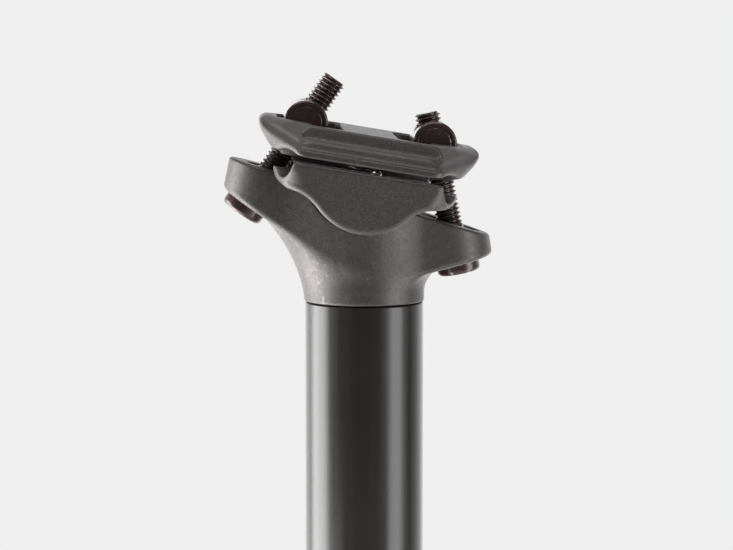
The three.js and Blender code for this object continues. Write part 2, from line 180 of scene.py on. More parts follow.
RAIL_Y = 22
RAIL_R = 3.5
CRADLE_RAIL_W = -0.5
UPPER_RAIL_W = -1.35
CLAMP_HALF_WIDTH = 26.5
NUT_R = 5
NUT_HALF = 8
NUT_BORE_R = 3.6
SPRING_SEAT_R = 4.9
BOLT_SWING = {"rear": (5, 36), "front": (-46, -12)}  # degrees from the clamp's normal

CREASE_W = 2.9
CREASE_TIP_W = 6.5
TOP_W = 8.1
RIM_Y = 20.6
BAND_Y = 24.2
NUT_U = 14.8
NUT_W = 8

CLAMP_COIL = {"coil_r": 3.7, "wire_r": 0.6, "low": -5.7, "high": 4.2, "turns": 4.5}
MAIN_COIL = {"coil_r": 11.6, "wire_r": 1.9, "turns": 11, "sides": 14, "per_turn": 48}

# ---- distance fields: smooth joins and cuts --------------------------------


def round_join(a, b, r):
    """Union, with a fillet of radius r."""
    return np.maximum(r, np.minimum(a, b)) - np.hypot(np.maximum(r - a, 0), np.maximum(r - b, 0))


def round_both(a, b, r):
    """Intersection, with its edge rounded to radius r."""
    return np.minimum(-r, np.maximum(a, b)) + np.hypot(np.maximum(r + a, 0), np.maximum(r + b, 0))


def carve(a, b, r):
    return round_both(a, -b, r)


def all_of(r, *fields):
    found = fields[0]
    for f in fields[1:]:
        found = round_both(found, f, r)
    return found


def slab(v, low, high):
    return np.maximum(low - v, v - high)


def cylinder(a, b, r):
    return np.hypot(a, b) - r


def stadium(a, b, low, high, r):
    return np.hypot(a - np.clip(a, low, high), b) - r


def plane(a, b, point, normal):
    length = math.hypot(*normal)
    return ((a - point[0]) * normal[0] + (b - point[1]) * normal[1]) / length


def curve_through(points, steps=12):
    """A Catmull-Rom curve through an open run of points."""
    p = [2 * np.array(points[0]) - points[1], *map(np.array, points), 2 * np.array(points[-1]) - points[-2]]
    out = []
    for a, b, c, d in zip(p, p[1:], p[2:], p[3:]):
        for t in np.arange(steps) / steps:
            bend = (2 * a - 5 * b + 4 * c - d) * t**2
            twist = (3 * b - a - 3 * c + d) * t**3
            out.append(0.5 * (2 * b + (c - a) * t + bend + twist))
    return [tuple(v) for v in out] + [tuple(points[-1])]


def polygon_distance(points, a, b):
    """Signed distance to a closed outline, negative inside."""
    nearest = np.full(np.broadcast(a, b).shape, 1e9)
    inside = np.zeros(nearest.shape, bool)
    for (ax, ay), (bx, by) in zip(points, points[1:] + points[:1]):
        ex, ey = bx - ax, by - ay
        wx, wy = a - ax, b - ay
        t = np.clip((wx * ex + wy * ey) / (ex * ex + ey * ey), 0, 1)
        nearest = np.minimum(nearest, (wx - ex * t) ** 2 + (wy - ey * t) ** 2)
        crosses = (ay > b) != (by > b)
        if ey:
            inside ^= crosses & (wx < ex * wy / ey)
    return np.where(inside, -1, 1) * np.sqrt(nearest)


def side_view(points, margin=6, step=0.15, blur=10):
    """The distance to an outline as a smooth lookup of two coordinates."""
    outline = np.array(points)
    low, high = outline.min(0) - margin, outline.max(0) + margin
    grid = [np.arange(l, h + step, step) for l, h in zip(low, high)]
    table = polygon_distance(list(map(tuple, points)), grid[0][:, None], grid[1][None, :])
    for _ in range(blur):
        padded = np.pad(table, 1, mode="edge")
        table = (padded[:-2, 1:-1] + padded[2:, 1:-1] + padded[1:-1, :-2] + padded[1:-1, 2:] + 4 * table) / 8

    def look_up(a, b):
        fa = np.clip((a - low[0]) / step, 0, table.shape[0] - 1.001)
        fb = np.clip((b - low[1]) / step, 0, table.shape[1] - 1.001)
        ia, ib = fa.astype(int), fb.astype(int)
        ta, tb = fa - ia, fb - ib
        near = table[ia, ib] * (1 - ta) + table[ia + 1, ib] * ta
        far = table[ia, ib + 1] * (1 - ta) + table[ia + 1, ib + 1] * ta
        return near * (1 - tb) + far * tb

    return look_up


# ---- meshes ----------------------------------------------------------------


def skin(field, low, high, cell):
    """The zero surface of a distance field as vertices and quads, by surface nets."""
    axes = [np.arange(l, h + cell, cell) for l, h in zip(low, high)]
    x, y, z = np.meshgrid(*axes, indexing="ij", sparse=True)
    value = np.array(np.broadcast_to(field(x, y, z), tuple(map(len, axes))))
    cells = tuple(n - 1 for n in value.shape)
    total = np.zeros(cells + (3,))
    count = np.zeros(cells, int)
    crossings = []
    for axis in range(3):
        first = tuple(slice(None, -1) if k == axis else slice(None) for k in range(3))
        second = tuple(slice(1, None) if k == axis else slice(None) for k in range(3))
        hit = np.argwhere((value[first] < 0) != (value[second] < 0))
        others = [k for k in range(3) if k != axis]
        inner = np.all([(hit[:, k] > 0) & (hit[:, k] < cells[k]) for k in others], axis=0)
        hit = hit[inner]
        step = np.zeros(3, int)
        step[axis] = 1
        v0, v1 = value[tuple(hit.T)], value[tuple((hit + step).T)]
        where = hit.astype(float)
        where[:, axis] += v0 / (v0 - v1)
        for da in (0, 1):
            for db in (0, 1):
                cell_index = hit.copy()
                cell_index[:, others[0]] -= da
                cell_index[:, others[1]] -= db
                np.add.at(total, tuple(cell_index.T), where)
                np.add.at(count, tuple(cell_index.T), 1)
        crossings.append((hit, others, v0 < 0, axis))
    used = count > 0
    number = np.full(cells, -1)
    number[used] = np.arange(used.sum())
    points = total[used] / count[used][:, None] * cell + np.array(low)
    quads = []
    for hit, others, solid_first, axis in crossings:
        corners = []
        for da, db in ((0, 0), (1, 0), (1, 1), (0, 1)):
            cell_index = hit.copy()
            cell_index[:, others[0]] -= da
            cell_index[:, others[1]] -= db
            corners.append(number[tuple(cell_index.T)])
        quad = np.stack(corners, 1)
        flip = solid_first if axis == 1 else ~solid_first
        quad[flip] = quad[flip][:, ::-1]
        quads.append(quad)
    return settle(field, points, cell), np.concatenate(quads)


def settle(field, points, cell, rounds=3):
    """Moves points onto the zero surface along the field's slope."""
    h = 0.1 * cell
    for _ in range(rounds):
        value = field(*points.T)
        rises = [field(*(points + d).T) - field(*(points - d).T) for d in np.eye(3) * h]
        slope = np.stack([rise / (2 * h) for rise in rises], 1)
        size = np.maximum((slope**2).sum(1), 0.2)
        move = slope * (value / size)[:, None]
        points = points - np.clip(move, -0.4 * cell, 0.4 * cell)
    return points


def fillet(points, radii, steps=5):
    """An open profile with its inner corners rounded; radii holds one radius for each inner corner."""
    out = [tuple(points[0])]
    for a, b, c, r in zip(points, points[1:], points[2:], radii):
        a, b, c = map(np.array, (a, b, c))
        u, v = (a - b) / np.linalg.norm(a - b), (c - b) / np.linalg.norm(c - b)
        if r <= 0:
            out.append(tuple(b))
            continue
        half = math.acos(np.clip(u @ v, -1, 1)) / 2
        reach = r / math.tan(half)
        for t in np.arange(steps + 1) / steps:
            out.append(tuple(b + u * reach * (1 - t) ** 2 + v * reach * t**2))
    return out + [tuple(points[-1])]


def angles(count):
    return np.arange(count) * 2 * math.pi / count


def stack(turns, rings, closed=False):
    """Joins rings of (radius or radius at each angle, z) to a skin; an open stack gets a fan at each end."""
    n = len(turns)
    across, along = np.cos(turns), np.sin(turns)
    points = [np.stack([np.broadcast_to(v, n) for v in (r * across, r * along, z)], 1) for r, z in rings]
    around = np.arange(n)
    beside = (around + 1) % n
    faces = []
    last = len(rings) if closed else len(rings) - 1
    for i in range(last):
        a, b = i * n, (i + 1) % len(rings) * n
        faces += np.stack([a + around, a + beside, b + beside, b + around], 1).tolist()
    verts = np.concatenate(points)
    if not closed:
        for i, order in ((0, -1), (len(rings) - 1, 1)):
            middle = points[i].mean(0)
            faces += [[len(verts), i * n + p, i * n + q][::order] for p, q in zip(around, beside)]
            verts = np.vstack([verts, middle])
    return verts, faces


def revolve(profile, count=96, closed=True):
    return stack(angles(count), profile, closed)


def merged(*parts):
    verts, faces, start = [], [], 0
    for v, f in parts:
        verts.append(np.asarray(v))
        faces += [[i + start for i in face] for face in f]
        start += len(v)
    return np.concatenate(verts), faces


def build(name, shape, matrix, material, sharp=40):
    verts, faces = shape
    verts = np.asarray(verts) @ np.array(matrix.to_3x3()).T + np.array(matrix.translation)
    mesh = bpy.data.meshes.new(name)
    mesh.from_pydata(verts.tolist(), [], faces.tolist() if isinstance(faces, np.ndarray) else faces)
    obj = bpy.data.objects.new(name, mesh)
    bpy.context.scene.collection.objects.link(obj)
    clean(mesh)
    mesh.shade_smooth()
    mesh.set_sharp_from_angle(angle=math.radians(sharp))
    mesh.materials.append(material)
    return obj


def clean(mesh):
    """Merges doubled points, drops faces of no area and turns every face outwards."""
    work = bmesh.new()
    work.from_mesh(mesh)
    bmesh.ops.remove_doubles(work, verts=work.verts, dist=1e-7)
    bmesh.ops.dissolve_degenerate(work, edges=work.edges, dist=1e-8)
    bmesh.ops.recalc_face_normals(work, faces=work.faces)
    work.to_mesh(mesh)
    work.free()


def finish_piece(obj, body, slot, *nodes):
    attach(obj, body)
    if nodes:
        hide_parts(*nodes)


# ---- materials -------------------------------------------------------------


class Shader:
    """A short way to write a node tree around one Principled shader."""

    def __init__(self, name, **constants):
        self.material = bpy.data.materials.new(name)
        self.material.use_nodes = True
        self.tree = self.material.node_tree
        self.main = self.tree.nodes["Principled BSDF"]
        for socket, value in constants.items():
            self.main.inputs[socket.replace("_", " ")].default_value = value
        self.where = self.tree.nodes.new("ShaderNodeTexCoord").outputs["Object"]

    def node(self, kind, **inputs):
        made = self.tree.nodes.new(kind)
        for socket, value in inputs.items():
            target = made.inputs[socket.replace("_", " ")]
            if isinstance(value, bpy.types.NodeSocket):
                self.tree.links.new(value, target)
            else:
                target.default_value = value
        return made

    def noise(self, scale, detail=3.0, stretch=(1, 1, 1)):
        place = self.node("ShaderNodeMapping", Vector=self.where, Scale=stretch)
        made = self.node("ShaderNodeTexNoise", Vector=place.outputs[0], Scale=scale, Detail=detail)
        return made.outputs["Fac"]

    def ramp(self, value, low, high, start, end):
        made = self.node("ShaderNodeMapRange", Value=value)
        for socket, number in zip(("From Min", "From Max", "To Min", "To Max"), (low, high, start, end)):
            made.inputs[socket].default_value = number
        return made.outputs[0]

    def mix(self, factor, a, b, blend="MIX"):
        made = self.tree.nodes.new("ShaderNodeMix")
        made.data_type = "RGBA"
        made.blend_type = blend
        for index, value in ((0, factor), (6, a), (7, b)):
            if isinstance(value, bpy.types.NodeSocket):
                self.tree.links.new(value, made.inputs[index])
            else:
                made.inputs[index].default_value = value
        return made.outputs[2]

    def edges(self, low, high):
        point = self.tree.nodes.new("ShaderNodeNewGeometry").outputs["Pointiness"]
        return self.ramp(point, low, high, 0.0, 1.0)

    def link(self, value, socket):
        self.tree.links.new(value, self.main.inputs[socket])

    def bump(self, *layers):
        """Each layer is (height, strength, distance in metres)."""
        normal = None
        for height, strength, distance in layers:
            made = self.node("ShaderNodeBump", Strength=strength, Distance=distance, Height=height)
            if normal is not None:
                self.tree.links.new(normal, made.inputs["Normal"])
            normal = made.outputs[0]
        self.link(normal, "Normal")


def grey(level, warm=0.0):
    return (level * (1 + warm), level, level * (1 - warm), 1)


def forged_alloy():
    """Bead-blasted and anodised forging: fine grain, faint blotches, and sharp edges painted lighter as a
    painted highlight.
    """
    s = Shader("forged_alloy", Metallic=0.55, Specular_IOR_Level=0.5)
    grain = s.noise(3600, 2)
    blotch = s.noise(120, 4)
    base = s.mix(s.ramp(grain, 0.3, 0.7, 0, 1), (0.074, 0.066, 0.067, 1), (0.138, 0.128, 0.126, 1))
    base = s.mix(s.ramp(blotch, 0.35, 0.7, 0, 0.35), base, (0.075, 0.066, 0.066, 1))
    # painted highlight: sharp convex edges painted a lighter grey
    base = s.mix(s.edges(0.565, 0.68), base, grey(0.17, 0.02))
    s.link(base, "Base Color")
    s.link(s.ramp(s.noise(900), 0.3, 0.7, 0.4, 0.54), "Roughness")
    s.bump((grain, 0.35, 0.00004), (s.noise(1400, 3), 0.2, 0.00005))
    return s.material


def gloss_anodised():
    """Drawn and polished tube, black anodised: faint lengthwise draw lines under a clear gloss."""
    s = Shader("gloss_anodised", Metallic=0.0, Specular_IOR_Level=0.7)
    draw = s.noise(700, 3, (1, 1, 0.02))
    cloud = s.noise(45, 3)
    s.link(s.mix(s.ramp(cloud, 0.3, 0.7, 0, 1), grey(0.0135, 0.1), grey(0.019, 0.08)), "Base Color")
    s.link(s.ramp(draw, 0.3, 0.7, 0.24, 0.32), "Roughness")
    s.bump((draw, 0.05, 0.00002), (s.noise(2600, 2), 0.04, 0.00001))
    return s.material


def satin_anodised():
    """Satin black anodised aluminium with lengthwise draw lines, and sharp edges painted lighter."""
    s = Shader("satin_anodised", Metallic=0.35, Specular_IOR_Level=0.5)
    draw = s.noise(500, 3, (1, 1, 0.03))
    grain = s.noise(3000, 2)
    base = s.mix(s.ramp(draw, 0.3, 0.7, 0, 1), grey(0.02, 0.06), grey(0.032, 0.04))
    # sharp convex edges painted a lighter grey
    base = s.mix(s.edges(0.52, 0.66), base, grey(0.12, 0.02))
    s.link(base, "Base Color")
    s.link(s.ramp(s.noise(260), 0.3, 0.7, 0.32, 0.42), "Roughness")
    s.bump((draw, 0.08, 0.00002), (grain, 0.12, 0.00002))
    return s.material


def black_steel():
    """Black oxide on steel: brown-black, oily gloss, with a painted highlight on the thread crests and sharp
    edges.
    """
    s = Shader("black_steel", Metallic=0.25, Specular_IOR_Level=0.9)
    patch = s.noise(260, 3)
    base = s.mix(s.ramp(patch, 0.3, 0.7, 0, 1), (0.048, 0.020, 0.020, 1), (0.066, 0.042, 0.040, 1))
    # painted highlight: thread crests and sharp edges painted a light grey
    base = s.mix(s.edges(0.53, 0.64), base, (0.34, 0.31, 0.3, 1))
    s.link(base, "Base Color")
    s.link(s.ramp(s.noise(1500), 0.3, 0.7, 0.2, 0.3), "Roughness")
    s.bump((s.noise(2400, 3), 0.04, 0.00002))
    return s.material


def spring_steel():
    s = Shader("spring_steel", Metallic=1.0)
    patch = s.noise(1800, 3)
    s.link(s.mix(s.ramp(patch, 0.3, 0.7, 0, 1), grey(0.68, 0.02), grey(0.86, 0.01)), "Base Color")
    s.link(s.ramp(s.noise(900), 0.3, 0.7, 0.12, 0.24), "Roughness")
    s.bump((s.noise(3000, 2), 0.1, 0.00002))
    return s.material


def brass():
    s = Shader("brass", Metallic=1.0)
    patch = s.noise(600, 3)
    s.link(s.mix(patch, (0.55, 0.36, 0.12, 1), (0.72, 0.52, 0.2, 1)), "Base Color")
    s.link(s.ramp(s.noise(1200), 0.3, 0.7, 0.25, 0.4), "Roughness")
    s.bump((s.noise(2500, 2), 0.1, 0.00002))
    return s.material


def bearing_polymer():
    s = Shader("bearing_polymer", Metallic=0.0)
    s.link(s.mix(s.noise(300, 3), (0.6, 0.57, 0.5, 1), (0.72, 0.7, 0.63, 1)), "Base Color")
    s.link(s.ramp(s.noise(900), 0.3, 0.7, 0.45, 0.6), "Roughness")
    s.bump((s.noise(2500, 2), 0.15, 0.00002))
    return s.material


def rubber():
    s = Shader("rubber", Metallic=0.0, Specular_IOR_Level=0.35)
    s.link(s.mix(s.noise(200, 3), grey(0.012), grey(0.022)), "Base Color")
    s.link(s.ramp(s.noise(1200), 0.3, 0.7, 0.55, 0.75), "Roughness")
    s.bump((s.noise(3200, 3), 0.25, 0.00004))
    return s.material


FINISHES = (
    forged_alloy, gloss_anodised, satin_anodised, black_steel, spring_steel, brass, bearing_polymer, rubber
)
MATERIAL = {make.__name__: make() for make in FINISHES}

# ---- head ------------------------------------------------------------------

ARM_UNDERSIDE = curve_through(
    [(-42, 32.5), (-36, 28.5), (-29.6, 24.1), (-23.4, 19.9), (-17, 15.6), (-10, 11.2), (-3, 8.2), (5, 6.2),
     (12, 6.4), (17.3, 7.7), (22, 8.9), (27, 10.1), (33, 11.6), (38, 12.9)]
)
head_side = side_view(ARM_UNDERSIDE + [(38, 60), (-42, 60)])
BOLT_IN_HEAD = {end: (in_frame(bolt_origin(end), HEAD), bolt_lean(end)) for end in ENDS}


def along_bolt(end, x, z):
    """(distance along a bolt from its head, distance across it) in the head's frame."""
    origin, lean = BOLT_IN_HEAD[end]
    dx, dz = x - origin.x, z - origin.z
    return dx * math.sin(lean) + dz * math.cos(lean), dx * math.cos(lean) - dz * math.sin(lean)


def head_field(x, y, z):
    rear = -(30.9 + 0.21 * (32.3 - z)) + ARM_HALF_WIDTH
    front = 28.75 + 0.16 * (14.7 - z) - ARM_HALF_WIDTH
    root = ROOT_SPREAD * np.exp(-((x / ROOT_LENGTH) ** 2))
    plan = stadium(x, y, rear, front, ARM_HALF_WIDTH) - root
    arms = round_both(head_side(x, z), plan, ARM_EDGE_R)
    neck = cylinder(x, y, NECK_R)
    flare = (8.5 - 4 * np.tanh(x / 5)) * (1 - 0.6 * np.clip(y / 13, -1, 1) ** 2)
    body = round_join(arms, neck, flare)
    body = round_both(body, (z + ARM_SLOPE * x - ARM_TOP) / math.hypot(1, ARM_SLOPE), 0.6)
    body = carve(body, cylinder(x, z - ROCKER_CENTRE_Z, SEAT_R), 0.6)
    for end in ENDS:
        s, q = along_bolt(end, x, z)
        reach = SLOT_REACH[end]
        slot = np.maximum(stadium(q, y, -reach, reach, SLOT_HALF), slab(s, SWIVEL_FLAT, 26))
        counterbore = np.maximum(cylinder(q, y, POCKET_HALF), slab(s, POCKET_LOW, SWIVEL_FLAT + GAP))
        room = all_of(0.6, np.abs(q) - POCKET_HALF, np.abs(y) - POCKET_HALF, SWIVEL_FLAT - 0.4 - s)
        seat = np.maximum(room, cylinder(q, s - SWIVEL_CENTRE, SWIVEL_R + GAP))
        body = carve(body, slot, 0.5)
        body = carve(body, np.minimum(counterbore, seat), 0.4)
    body = round_both(body, -z, 0.35)
    return np.minimum(body, np.maximum(cylinder(x, y, SPIGOT_R), slab(z, -8, 2)))


# ---- saddle clamp ----------------------------------------------------------


def clamp_plan(u, y, corner_u, tip_u, tip_y, half_width, r):
    """Six-sided plan: long sides along the rails, slanted ends that meet at blunt tips."""
    au, ay = np.abs(u), np.abs(y)
    slant = plane(au, ay, (corner_u, half_width), (half_width - tip_y, tip_u - corner_u))
    return all_of(r, ay - half_width, slant, au - tip_u)


CRADLE_UNDERSIDE = curve_through(
    [(-21.1, -1.5), (-20.8, -3.4), (-19.7, -4.95), (-17.5, -6.15), (-15, -6.55), (-12.9, -7.3),
     (-10.7, -8.8), (-8.8, -10.5), (-6.3, -12.15), (-3.3, -13.3), (0.3, -13.7), (4.2, -13.05), (8, -11),
     (10.9, -8.1), (12.8, -6.65), (15.6, -5.95), (18.4, -5.5), (20.3, -4.7), (21.2, -3.2), (21.2, -1.5)]
)
cradle_side = side_view(CRADLE_UNDERSIDE + [(21.2, 8), (-21.1, 8)])


def cradle_field(u, y, w):
    ay = np.abs(y)
    corner = 1.5 + 1.8 * np.clip((-2 - w) / 3, 0, 1)
    plan = clamp_plan(u, y, 16.8, 21.2, 17.6, CLAMP_HALF_WIDTH, corner)
    body = round_both(cradle_side(u, w), plan, 1.1)
    body = round_both(body, w, 0.8)
    between_rails = all_of(0.8, ay - (RAIL_Y - 1.5), -2.4 - w)
    body = carve(body, between_rails, 0.45)
    middle = np.maximum(ay - 12.6, -3 - w)
    ends = all_of(1.5, ay - 12.6, 11.3 - np.abs(u))
    body = carve(body, round_join(middle, ends, 1.0), 0.6)
    body = carve(body, cylinder(ay - RAIL_Y, w - CRADLE_RAIL_W, RAIL_R), 0.5)
    return carve(body, np.maximum(cylinder(u, y, SPRING_SEAT_R), -6 - w), 0.3)


def bevel_over_slant(u, y, w):
    """The sloped surface over a slanted end: from the crease, which climbs towards the tip, to the rim."""
    a, b, c = (np.array(p) for p in ((16, 26.5, CREASE_W), (25.4, 9, CREASE_TIP_W), (14.2, RIM_Y, TOP_W)))
    normal = np.cross(b - a, c - a)
    normal *= np.sign(normal[2]) / np.linalg.norm(normal)
    return (np.abs(u) - a[0]) * normal[0] + (np.abs(y) - a[1]) * normal[1] + (w - a[2]) * normal[2]


def bolt_sweep(du, y, dw, tilts):
    """The room that a bolt needs over its range of lean about a nut."""
    low, high = map(math.radians, tilts)
    low_s, low_c, high_s, high_c = math.sin(low), math.cos(low), math.sin(high), math.cos(high)
    low_side = dw * low_s - du * low_c - SLOT_HALF
    high_side = du * high_c - dw * high_s - SLOT_HALF
    return all_of(0.8, high_side, low_side, dw * low_c + du * low_s, np.abs(y) - SLOT_HALF)


def upper_field(u, y, w):
    shift = u + 0.2
    au, ay = np.abs(shift), np.abs(y)
    plan = clamp_plan(shift, y, 16, 25.5, 9, CLAMP_HALF_WIDTH, 1.8)
    under_tip = plane(au, w, (21.2, 1.0), (5.5, -4.9))
    side_bevel = plane(ay, w, (CLAMP_HALF_WIDTH, CREASE_W), (1, 1))
    bevel = round_both(side_bevel, bevel_over_slant(shift, y, w), 1.2)
    body = round_both(plan, 1.2 - w, 0.4)
    body = round_both(body, under_tip, 1.3)
    body = round_both(body, bevel, 1.1)
    tip_rounding = 0.4 + 2 * np.clip((au - 18) / 6, 0, 1)
    body = round_both(body, w - TOP_W - 0.03 * np.maximum(au - 14, 0), tip_rounding)
    body = carve(body, np.hypot(plan + 0.9, bevel - 0.05) - 0.6, 0.3)
    lip = all_of(0.5, au - 19.5, ay - 18, 0.6 - w, w - 4)
    body = round_join(body, lip, 0.6)
    wall = plane(ay, w, (RIM_Y, TOP_W), (3, 1.1))
    ends = plane(au, ay, (17.2, RIM_Y), (4.6, 3.9))
    cove = all_of(1.5, -wall, all_of(2.0, ay - BAND_Y, ends), 4.4 - w)
    body = carve(body, cove, 0.35)
    pockets = all_of(2.8, ay - 17.6, au - 13.5, 6.2 - au)
    body = carve(body, np.maximum(pockets, 4 - w), 0.4)
    near_end = np.clip(1 + plane(au, ay, (16, CLAMP_HALF_WIDTH), (17.5, 9.5)) / 5, 0, 1)
    spread = 1 + 0.85 * near_end
    groove = cylinder((ay - RAIL_Y + 0.8 * near_end) / spread, w - UPPER_RAIL_W, RAIL_R)
    body = carve(body, groove, 0.4 + 0.5 * near_end)
    for side, end in ((-1, "rear"), (1, "front")):
        du, dw = shift - side * NUT_U, w - NUT_W
        seat = cylinder(du, dw, NUT_R + GAP)
        mouth = np.maximum(side * du - 6.6, -side * du - 5.6) - np.minimum(dw, 0)
        body = carve(body, np.maximum(np.minimum(seat, mouth), ay - 8.6), 0.25)
        body = carve(body, bolt_sweep(du, y, dw, BOLT_SWING[end]), 0.4)
    return carve(body, np.maximum(cylinder(u, y, SPRING_SEAT_R), w - 4.5), 0.3)


def mirrored_skin(field, reach, cell):
    """The skin of a shape that is its own mirror image across Y = 0."""
    low, high = reach
    half = int(round(high[1] / cell)) + 1
    low = (low[0], -(half + 0.5) * cell, low[2])
    return skin(field, low, (high[0], (half + 0.5) * cell, high[2]), cell)


CELL = 0.34
THIN_CELL = 0.3
HEAD_REACH = ((-34, 0, -8.6), (31, 17, 34.6))
CRADLE_REACH = ((-22.4, 0, -14.6), (22.4, 27.4, 1))
UPPER_REACH = ((-26.8, 0, 0), (26.8, 27.4, 9.6))
for name, field, reach, cell, place, body, node in (
    ("head_forging", head_field, HEAD_REACH, CELL, HEAD, "slider", "head"),
    ("cradle_forging", cradle_field, CRADLE_REACH, CELL, CLAMP, "cradle", "lower_cradle"),
    ("upper_clamp_forging", upper_field, UPPER_REACH, THIN_CELL, CLAMP, "upper_clamp", "upper_clamp"),
):
    forging = build(name, mirrored_skin(field, reach, cell), place, MATERIAL["forged_alloy"], 80)
    finish_piece(forging, body, "forged_alloy", node)

# ---- bolts, nuts and washers -----------------------------------------------


def thread(low, high, shank_low):
    """An M6 thread from z = low to high, run out into a plain shank that goes down to shank_low."""
    per_pitch = 12
    turns = angles(56)
    n = len(turns)
    rows = int((high - low + 2 * PITCH) / PITCH * per_pitch)
    row = np.arange(rows)[:, None] / per_pitch
    z = np.minimum(low - PITCH + PITCH * (row + turns / (2 * math.pi)), high)
    ridge = np.abs(row % 1 - 0.5) * 2
    r = THREAD_ROOT_R + (BOLT_R - THREAD_ROOT_R) * np.clip((ridge - 0.2) / 0.68, 0, 1)
    run_out = np.clip(2.2 - row, 0, 1)
    r = r * (1 - run_out) + BOLT_R * run_out
    r = np.minimum(r, THREAD_ROOT_R + (high - z) * 1.3)
    helix = np.stack([r * np.cos(turns), r * np.sin(turns), z], 2).reshape(-1, 3)
    levels = (shank_low, low - 1.3)
    shank = [(BOLT_R * math.cos(a), BOLT_R * math.sin(a), level) for level in levels for a in turns]
    first = 2 * n
    faces = [[k, k + 1, n + k + 1, n + k] for k in range(n - 1)] + [[n - 1, 0, n, 2 * n - 1]]
    faces += [[n + k, n + k + 1, first + k + 1, first + k] for k in range(n - 1)]
    step = [first + j * n for j in range(per_pitch + 1)]
    faces.append([2 * n - 1, n] + step + [first + n - 1])
    for j in range(rows - 1):
        a = first + j * n
        faces += [[a + k, a + k + 1, a + n + k + 1, a + n + k] for k in range(n - 1)]
        if j + per_pitch + 1 < rows:
            beside = a + per_pitch * n
            faces.append([a + n - 1, beside, beside + n, a + 2 * n - 1])
    top = first + (rows - 1) * n
    faces += [list(range(n))[::-1], list(range(top, top + n))]
    return np.concatenate([shank, helix]), faces


def hexagon(turns, across_flats):
    sector = (turns + math.pi / 6) % (math.pi / 3) - math.pi / 6
    return across_flats / 2 / np.cos(sector)


def socket_head():
    """A cap head with rounded rims and a hexagon socket in its outer face."""
    turns = angles(120)
    outer = fillet(
        [(3.1, 0), (BOLT_HEAD_R, 0), (BOLT_HEAD_R, BOLT_HEAD_HEIGHT), (2, BOLT_HEAD_HEIGHT)], (1.15, 0.4), 7
    )
    socket = hexagon(turns, HEX_KEY)
    inside = [(0.6, 3.9), (1.6, 3.6), (socket * 0.985, 3.1), (socket, 0.35), (socket * 1.045, 0.05)]
    return stack(turns, inside + outer)


for end in ENDS:
    shape = merged(socket_head(), thread(THREAD_START, BOLT_LENGTH, 5.5))
    bolt = build(f"{end}_cap_screw", shape, BOLT[end], MATERIAL["black_steel"], 30)
    finish_piece(bolt, f"{end}_bolt", "black_steel", f"{end}_bolt")


def washer():
    return revolve(fillet([(3.2, 6.4), (3.2, 6.05), (5.4, 6.05), (5.4, 6.75), (3.2, 6.75), (3.2, 6.4)],
                          (0.15, 0.15, 0.15, 0.15), 3)[:-1], 72)


def swivel_field(q, y, s):
    body = all_of(0.4, cylinder(q, s - SWIVEL_CENTRE, SWIVEL_R), np.abs(y) - 5.5, SWIVEL_FLAT - s)
    return carve(body, cylinder(q, y, 3.3), 0.3)


def nut_field(q, y, s):
    """A barrel nut along y with turned ends, a thin ring cut in each, and a countersunk cross hole."""
    ay = np.abs(y)
    r = np.hypot(q, s)
    body = np.maximum(r - NUT_R, ay - NUT_HALF)
    body = all_of(0.1, body, plane(r, ay, (NUT_R - 0.35, NUT_HALF), (1, 1)))
    ring = np.hypot(r - 3.7, ay - NUT_HALF) - 0.16
    body = carve(body, ring, 0.1)
    countersink = plane(np.hypot(q, y), np.abs(s), (NUT_BORE_R, 4.3), (1, -1))
    return carve(body, np.minimum(cylinder(q, y, NUT_BORE_R), countersink), 0.12)


NUT_CELL = 0.22
SWIVEL_CELL = 0.3
for end in ENDS:
    ring = build(f"{end}_thin_washer", washer(), BOLT[end], MATERIAL["black_steel"])
    finish_piece(ring, f"{end}_washer", "black_steel", f"{end}_flat_washer")
    shape = skin(swivel_field, (-6.9, -6, 6.6), (6.9, 6, 9.8), SWIVEL_CELL)
    swivel = build(f"{end}_half_round_washer", shape, BOLT[end], MATERIAL["black_steel"], 40)
    finish_piece(swivel, f"{end}_swivel", "black_steel", f"{end}_swivel_washer")
    shape = skin(nut_field, (-5.4, -8.4, -5.4), (5.4, 8.4, 5.4), NUT_CELL)
    nut = build(f"{end}_cross_nut", shape, NUT[end], MATERIAL["black_steel"], 35)
    finish_piece(nut, f"{end}_nut", "black_steel", f"{end}_barrel_nut")

# ---- springs ---------------------------------------------------------------


def coil(coil_r, wire_r, low, high, turns, sides=12, per_turn=40):
    """A round-wire spring with closed, ground ends."""
    count = int(turns * per_turn) + 1
    t = np.linspace(0, 1, count)
    angle = 2 * math.pi * turns * t
    closed = 0.75 / turns
    run = np.clip((t - closed) / (1 - 2 * closed), 0, 1)
    dead = 2 * wire_r * 0.75
    travel = high - low - 2 * wire_r
    z = low + wire_r + dead * (np.clip(t / closed, 0, 1) + np.clip((t - 1 + closed) / closed, 0, 1))
    z = z + (travel - 2 * dead) * run
    out = np.stack([np.cos(angle), np.sin(angle)], 1)
    turn = angles(sides)
    rings = np.stack([
        (coil_r + wire_r * np.cos(turn)[None, :]) * out[:, :1],
        (coil_r + wire_r * np.cos(turn)[None, :]) * out[:, 1:],
        z[:, None] + wire_r * np.sin(turn)[None, :],
    ], 2)
    rings[:, :, 2] = np.clip(rings[:, :, 2], low + 0.25 * wire_r, high - 0.25 * wire_r)
    verts = rings.reshape(-1, 3)
    faces = []
    for i in range(count - 1):
        for k in range(sides):
            a, b = i * sides + k, i * sides + (k + 1) % sides
            faces.append([a, b, b + sides, a + sides])
    faces.append(list(range(sides))[::-1])
    faces.append([len(verts) - sides + k for k in range(sides)])
    return verts, faces


clamp_coil = build("clamp_coil", coil(**CLAMP_COIL), CLAMP, MATERIAL["spring_steel"])
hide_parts("clamp_spring")
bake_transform(clamp_coil)

